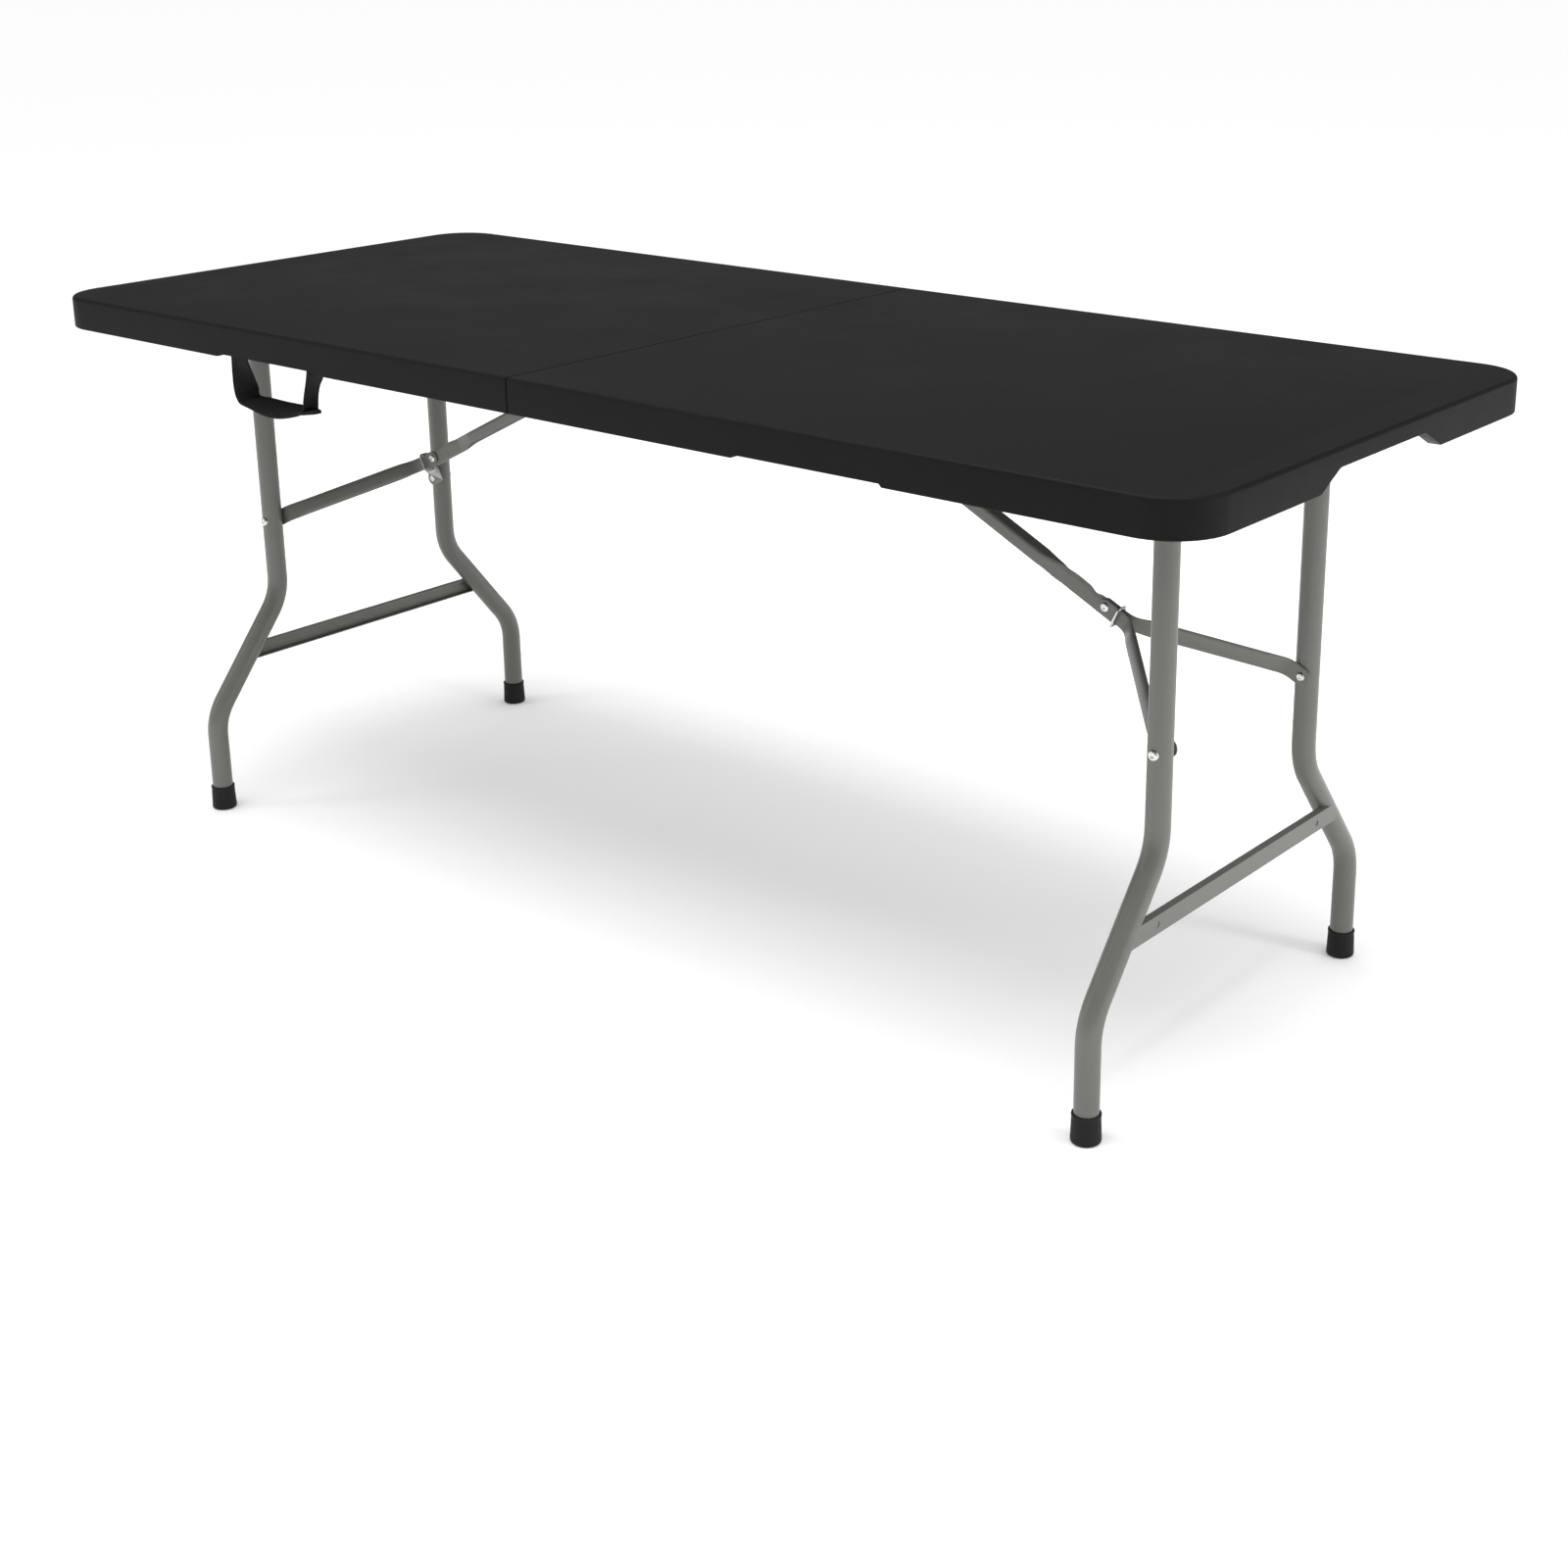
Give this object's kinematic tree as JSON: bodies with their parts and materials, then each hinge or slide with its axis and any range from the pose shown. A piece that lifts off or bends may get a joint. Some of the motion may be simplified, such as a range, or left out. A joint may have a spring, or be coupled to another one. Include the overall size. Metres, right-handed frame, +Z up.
{
  "type": "folding table",
  "caption": "Fold-in-half moulded plastic table with folding steel legs, locking braces and a webbing carry handle.",
  "frame": {"origin": "on the floor, under the middle of the open table top", "axes": "+X along the table from the handle's half to the other half, +Y to the back, +Z up; the carry handle is on the front at -Y"},
  "size_m": [1.8, 0.74, 0.74],
  "materials": {
    "hdpe": "black blow-moulded polyethylene, satin, with a faint fine grain",
    "powder_coat": "grey-green powder coat, satin, slight orange peel",
    "rail_coat": "grey-green powder coat on pressed steel",
    "rubber_black": "black moulded rubber, dull",
    "nylon": "black nylon",
    "zinc": "bright zinc-plated steel",
    "webbing": "black woven polypropylene webbing"
  },
  "bodies": {
    "left_half": {"left_panel": "hdpe", "left_front_rail": "rail_coat", "left_back_rail": "rail_coat", "left_pivot_bushes": "nylon", "left_rail_screws": "zinc", "left_brace_bracket": "powder_coat", "left_bracket_pin": "zinc", "left_bracket_screws": "zinc", "left_hinge_leaves": "zinc", "left_hinge_screws": "zinc", "hinge_pins": "zinc", "handle_tabs": "webbing", "handle_screws": "zinc"},
    "right_half": {"right_panel": "hdpe", "right_front_rail": "rail_coat", "right_back_rail": "rail_coat", "right_pivot_bushes": "nylon", "right_rail_screws": "zinc", "right_brace_bracket": "powder_coat", "right_bracket_pin": "zinc", "right_bracket_screws": "zinc", "right_hinge_leaves": "zinc", "right_hinge_screws": "zinc"},
    "carry_handle": {"carry_handle": "webbing"},
    "left_leg_frame": {"left_pivot_tube": "powder_coat", "left_front_leg_tube": "powder_coat", "left_back_leg_tube": "powder_coat", "left_crossbar": "powder_coat", "left_front_foot": "rubber_black", "left_back_foot": "rubber_black", "left_leg_rivets": "zinc"},
    "left_upper_brace": {"left_upper_link": "powder_coat"},
    "left_brace_fork": {"left_front_arm": "powder_coat", "left_back_arm": "powder_coat", "left_knee_rivet": "zinc", "left_arm_rivets": "zinc"},
    "left_lock_ring": {"left_lock_ring": "zinc"},
    "right_leg_frame": {"right_pivot_tube": "powder_coat", "right_front_leg_tube": "powder_coat", "right_back_leg_tube": "powder_coat", "right_crossbar": "powder_coat", "right_front_foot": "rubber_black", "right_back_foot": "rubber_black", "right_leg_rivets": "zinc"},
    "right_upper_brace": {"right_upper_link": "powder_coat"},
    "right_brace_fork": {"right_front_arm": "powder_coat", "right_back_arm": "powder_coat", "right_knee_rivet": "zinc", "right_arm_rivets": "zinc"},
    "right_lock_ring": {"right_lock_ring": "zinc"}
  },
  "joints": [
    {"name": "centre_fold", "type": "hinge", "parent": "left_half", "child": "right_half", "pos_m": [0, 0, 0.6964], "axis": [0, 1, 0], "range_deg": [0, 90]},
    {"name": "handle_swing", "type": "hinge", "parent": "left_half", "child": "carry_handle", "pos_m": [-0.44, -0.3529, 0.6964], "axis": [-1, 0, 0], "range_deg": [-45, 90]},
    {"name": "left_leg_fold", "type": "hinge", "parent": "left_half", "child": "left_leg_frame", "pos_m": [-0.744, 0, 0.714], "axis": [0, -1, 0], "range_deg": [0, 90]},
    {"name": "left_brace_lift", "type": "hinge", "parent": "left_half", "child": "left_upper_brace", "pos_m": [-0.102, 0, 0.7205], "axis": [0, 1, 0], "range_deg": [0, 26.39]},
    {"name": "left_knee_fold", "type": "hinge", "parent": "left_upper_brace", "child": "left_brace_fork", "pos_m": [-0.57076, 0, 0.48795], "axis": [0, -1, 0], "range_deg": [0, 178.07]},
    {"name": "left_ring_slide", "type": "slide", "parent": "left_upper_brace", "child": "left_lock_ring", "axis": [0.8958, 0, 0.4444], "range_m": [0, 0.078]},
    {"name": "right_leg_fold", "type": "hinge", "parent": "right_half", "child": "right_leg_frame", "pos_m": [0.744, 0, 0.714], "axis": [0, 1, 0], "range_deg": [0, 90]},
    {"name": "right_brace_lift", "type": "hinge", "parent": "right_half", "child": "right_upper_brace", "pos_m": [0.102, 0, 0.7205], "axis": [0, -1, 0], "range_deg": [0, 26.39]},
    {"name": "right_knee_fold", "type": "hinge", "parent": "right_upper_brace", "child": "right_brace_fork", "pos_m": [0.57076, 0, 0.48795], "axis": [0, 1, 0], "range_deg": [0, 178.07]},
    {"name": "right_ring_slide", "type": "slide", "parent": "right_upper_brace", "child": "right_lock_ring", "axis": [-0.8958, 0, 0.4444], "range_m": [0, 0.078]}
  ],
  "couplings": [
    {"joint": "left_brace_lift", "follows": "left_leg_fold", "ratio": 0.29318},
    {"joint": "left_knee_fold", "follows": "left_leg_fold", "ratio": 1.9786},
    {"joint": "left_ring_slide", "follows": "left_leg_fold", "m_per_rad": 0.049656},
    {"joint": "right_brace_lift", "follows": "right_leg_fold", "ratio": 0.29318},
    {"joint": "right_knee_fold", "follows": "right_leg_fold", "ratio": 1.9786},
    {"joint": "right_ring_slide", "follows": "right_leg_fold", "m_per_rad": 0.049656}
  ]
}
